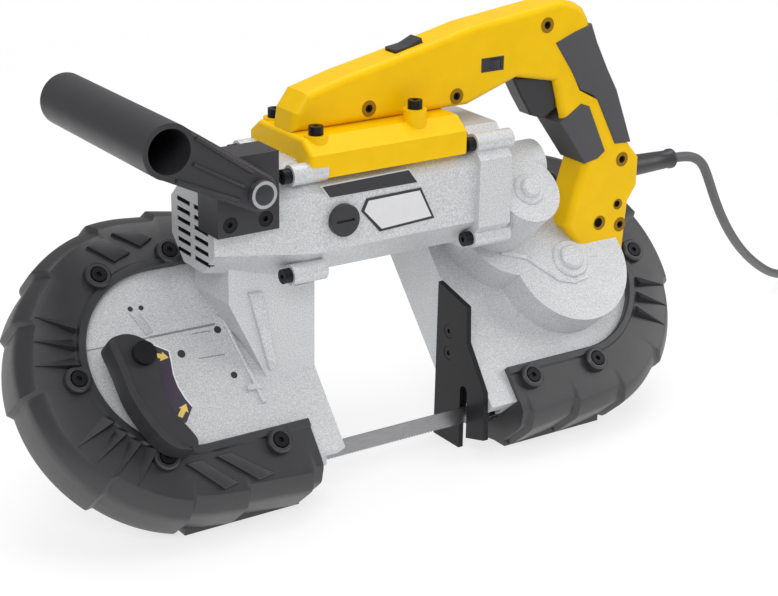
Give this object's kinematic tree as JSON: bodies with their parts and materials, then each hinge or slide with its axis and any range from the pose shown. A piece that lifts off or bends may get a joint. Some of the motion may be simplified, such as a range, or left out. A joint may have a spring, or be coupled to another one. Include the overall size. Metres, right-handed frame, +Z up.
{
  "type": "portable band saw",
  "caption": "Hand held band saw with two leaning wheel housings in rubber bumpers, an exposed blade run, a motor above the throat, a trigger handle and a bar handle.",
  "frame": {"origin": "on the floor below the middle of the saw's box, cord left out", "axes": "+X along the blade from the idler wheel to the drive wheel, +Y away from the user, +Z up"},
  "size_m": [0.9334, 0.2132, 0.3213],
  "materials": {
    "cast_metal": "speckled cast",
    "steel": "machined",
    "blade_steel": "ground",
    "black_steel": "black oxide",
    "rubber": "matt moulded",
    "yellow_plastic": "satin moulded",
    "black_plastic": "fine grain",
    "copper": "drawn",
    "carbon": "matt",
    "cord_sheath": "matt extruded",
    "brass": "plated"
  },
  "bodies": {
    "saw": {"front_frame": "cast_metal", "rear_frame": "cast_metal", "motor_housing": "cast_metal", "vented_end_cap": "cast_metal", "gearcase": "cast_metal", "bearings": "steel", "stator": "steel", "handle_pivot_bolt": "steel", "saw_blade": "blade_steel", "work_stop": "black_steel", "work_stop_screws": "black_steel", "bumper_screws": "black_steel", "motor_screws": "black_steel", "handle_base_screws": "black_steel", "handle_screws": "black_steel", "handle_bracket_screws": "black_steel", "lever_screw": "black_steel", "front_guide_block": "black_steel", "rear_guide_block": "black_steel", "front_bumper": "rubber", "rear_bumper": "rubber", "rear_grip": "rubber", "handle_base": "yellow_plastic", "handle_shell_near": "yellow_plastic", "handle_shell_far": "yellow_plastic", "handle_bracket": "black_plastic", "switch_module": "black_plastic", "brush_caps": "black_plastic", "strain_relief": "black_plastic", "plug_body": "black_plastic", "blade_channel": "black_plastic", "carbon_brushes": "carbon", "power_cord": "cord_sheath", "cord_coil": "cord_sheath", "brush_holders": "brass", "plug_pins": "brass"},
    "drive": {"drive_wheel": "cast_metal", "drive_tyre": "rubber", "wheel_shaft": "steel", "final_gear": "steel"},
    "pinion": {"pinion_shaft": "steel", "worm_wheel": "brass"},
    "armature": {"motor_shaft": "steel", "rotor_core": "steel", "commutator": "copper", "cooling_fan": "black_plastic"},
    "slide": {"tension_slide": "steel"},
    "idler": {"idler_wheel": "cast_metal", "idler_tyre": "rubber", "idler_bearings": "steel"},
    "lever": {"tension_lever": "black_plastic"},
    "trigger": {"trigger": "black_plastic"},
    "rocker": {"rocker_switch": "black_plastic"},
    "dial": {"speed_dial": "black_plastic"},
    "bar_handle": {"front_handle": "black_plastic"},
    "roller_front_near": {"front_near_roller": "steel"},
    "roller_front_far": {"front_far_roller": "steel"},
    "roller_rear_near": {"rear_near_roller": "steel"},
    "roller_rear_far": {"rear_far_roller": "steel"}
  },
  "joints": [
    {"name": "drive_wheel_spin", "type": "hinge", "parent": "saw", "child": "drive", "pos_m": [0.15835, 0, 0.094], "axis": [0, -0.7547, 0.6561], "continuous": true},
    {"name": "pinion_spin", "type": "hinge", "parent": "saw", "child": "pinion", "pos_m": [0.10639, 0.02669, 0.12471], "axis": [0, -0.7547, 0.6561], "continuous": true},
    {"name": "armature_spin", "type": "hinge", "parent": "saw", "child": "armature", "pos_m": [0, -0.018, 0.199], "axis": [1, 0, 0], "continuous": true},
    {"name": "tension_slide_travel", "type": "slide", "parent": "saw", "child": "slide", "axis": [1, 0, 0], "range_m": [0, 0.008]},
    {"name": "idler_wheel_spin", "type": "hinge", "parent": "slide", "child": "idler", "pos_m": [-0.15835, 0, 0.094], "axis": [0, -0.7547, 0.6561], "continuous": true},
    {"name": "tension_lever_turn", "type": "hinge", "parent": "saw", "child": "lever", "pos_m": [-0.19096, 0, 0.094], "axis": [0, -0.7547, 0.6561], "range_deg": [0, 60]},
    {"name": "trigger_pull", "type": "slide", "parent": "saw", "child": "trigger", "axis": [1, 0, 0], "range_m": [0, 0.006], "stiffness_N_per_m": 800, "springref_m": -0.004},
    {"name": "rocker_tilt", "type": "hinge", "parent": "saw", "child": "rocker", "pos_m": [0.02, -0.018, 0.29828], "axis": [0, 1, 0], "range_deg": [-6, 6]},
    {"name": "speed_dial_turn", "type": "hinge", "parent": "saw", "child": "dial", "pos_m": [0.087, -0.0244, 0.281], "axis": [0, 0, 1], "range_deg": [0, 270]},
    {"name": "bar_handle_swing", "type": "hinge", "parent": "saw", "child": "bar_handle", "pos_m": [-0.124, -0.0648, 0.232], "axis": [0, 1, 0], "range_deg": [-25, 55]},
    {"name": "front_near_roller_spin", "type": "hinge", "parent": "saw", "child": "roller_front_near", "pos_m": [-0.0695, -0.05273, 0.02725], "axis": [0, 0, 1], "continuous": true},
    {"name": "front_far_roller_spin", "type": "hinge", "parent": "saw", "child": "roller_front_far", "pos_m": [-0.0695, -0.03948, 0.02725], "axis": [0, 0, 1], "continuous": true},
    {"name": "rear_near_roller_spin", "type": "hinge", "parent": "saw", "child": "roller_rear_near", "pos_m": [0.0695, -0.05273, 0.02725], "axis": [0, 0, 1], "continuous": true},
    {"name": "rear_far_roller_spin", "type": "hinge", "parent": "saw", "child": "roller_rear_far", "pos_m": [0.0695, -0.03948, 0.02725], "axis": [0, 0, 1], "continuous": true}
  ],
  "couplings": [
    {"joint": "pinion_spin", "follows": "drive_wheel_spin", "ratio": -1.6667},
    {"joint": "armature_spin", "follows": "drive_wheel_spin", "ratio": -100},
    {"joint": "idler_wheel_spin", "follows": "drive_wheel_spin", "ratio": 1},
    {"joint": "tension_slide_travel", "follows": "tension_lever_turn", "m_per_rad": 0.0076394},
    {"joint": "front_near_roller_spin", "follows": "drive_wheel_spin", "ratio": -13.438},
    {"joint": "front_far_roller_spin", "follows": "drive_wheel_spin", "ratio": 13.438},
    {"joint": "rear_near_roller_spin", "follows": "drive_wheel_spin", "ratio": -13.438},
    {"joint": "rear_far_roller_spin", "follows": "drive_wheel_spin", "ratio": 13.438}
  ]
}
